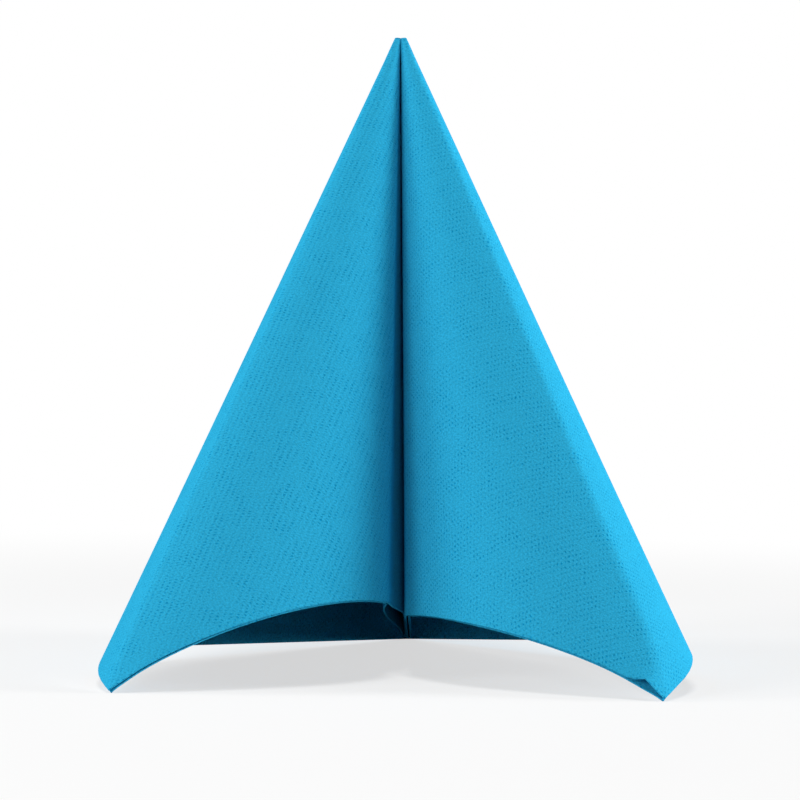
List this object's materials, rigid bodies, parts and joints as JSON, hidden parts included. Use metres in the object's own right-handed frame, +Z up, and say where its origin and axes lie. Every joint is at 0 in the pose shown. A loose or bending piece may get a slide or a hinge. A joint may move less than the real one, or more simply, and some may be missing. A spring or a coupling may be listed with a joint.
{
  "type": "folded paper napkin",
  "caption": "Folded paper table napkin that stands as a pointed peak, with bulging flaps that meet in a deep groove and an open hollow underneath.",
  "frame": {"origin": "centre of the bounding box at its base, on the surface that the napkin stands on", "axes": "+Z up to the peak, -Y to the front, where the flaps meet in the groove, +X to the right as seen from the front"},
  "size_m": [0.1744, 0.1842, 0.1979],
  "materials": {
    "paper": "matte turquoise-blue tissue with fine embossed dots"
  },
  "bodies": {
    "root": {"napkin": "paper"}
  },
  "joints": []
}
